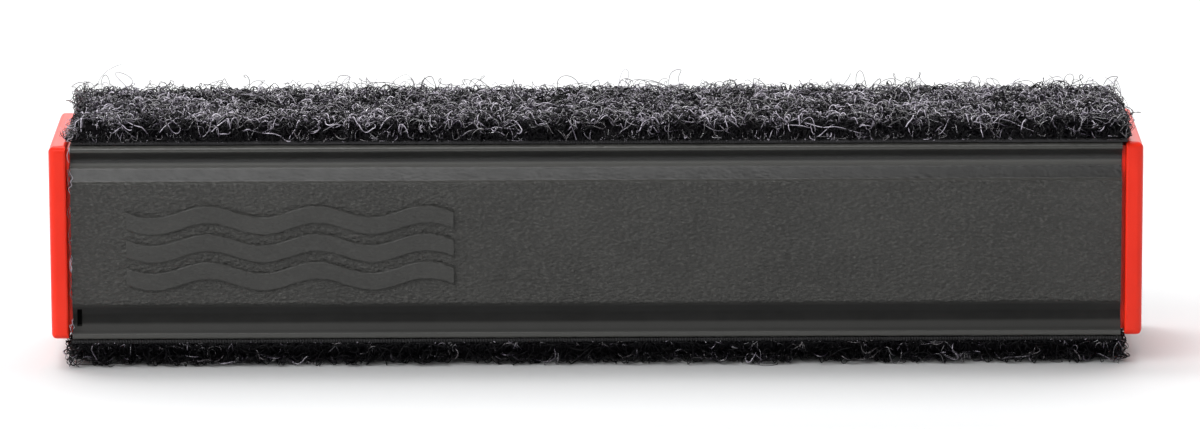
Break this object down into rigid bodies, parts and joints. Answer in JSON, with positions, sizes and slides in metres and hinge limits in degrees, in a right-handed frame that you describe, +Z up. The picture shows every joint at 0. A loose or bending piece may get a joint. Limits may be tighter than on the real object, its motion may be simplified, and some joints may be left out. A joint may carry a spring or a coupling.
{
  "type": "magnetic glass cleaner",
  "caption": "Slim bar-shaped magnetic aquarium glass cleaner with loop-pile pads on its top and bottom faces, a grooved black body and red push-fit end caps.",
  "frame": {"origin": "under the middle of the bar, on the face of its bottom pad", "axes": "+X along the bar towards its right cap, -Y out of the grooved front face, +Z up through the top pad"},
  "size_m": [0.13, 0.0216, 0.0303],
  "materials": {
    "body_plastic": "fine leather-like moulded grain, low sheen",
    "cap_plastic": "smooth gloss",
    "seal_rubber": "matte",
    "cradle_plastic": "satin moulded",
    "yoke_steel": "zinc plated",
    "magnet_nickel": "bright nickel plate",
    "foam": "closed-cell foam",
    "bonding_film": "dark adhesive film",
    "pad_backing": "tight woven nylon",
    "pad_pile": "curly nylon loop pile with a soft gloss"
  },
  "bodies": {
    "bar": {"front_shell": "body_plastic", "rear_shell": "body_plastic", "magnet_cradle": "cradle_plastic", "yoke_plate": "yoke_steel", "upper_magnet_1": "magnet_nickel", "upper_magnet_2": "magnet_nickel", "upper_magnet_3": "magnet_nickel", "upper_magnet_4": "magnet_nickel", "lower_magnet_1": "magnet_nickel", "lower_magnet_2": "magnet_nickel", "lower_magnet_3": "magnet_nickel", "lower_magnet_4": "magnet_nickel", "upper_foam_strip": "foam", "lower_foam_strip": "foam", "top_pad_adhesive": "bonding_film", "top_pad_backing": "pad_backing", "top_pad_pile": "pad_pile", "bottom_pad_adhesive": "bonding_film", "bottom_pad_backing": "pad_backing", "bottom_pad_pile": "pad_pile"},
    "left_cap": {"end_cap_left": "cap_plastic", "cap_seal_left": "seal_rubber"},
    "right_cap": {"end_cap_right": "cap_plastic", "cap_seal_right": "seal_rubber"}
  },
  "joints": [
    {"name": "left_cap_pull", "type": "slide", "parent": "bar", "child": "left_cap", "axis": [-1, 0, 0], "range_m": [0, 0.012]},
    {"name": "right_cap_pull", "type": "slide", "parent": "bar", "child": "right_cap", "axis": [1, 0, 0], "range_m": [0, 0.012]}
  ]
}
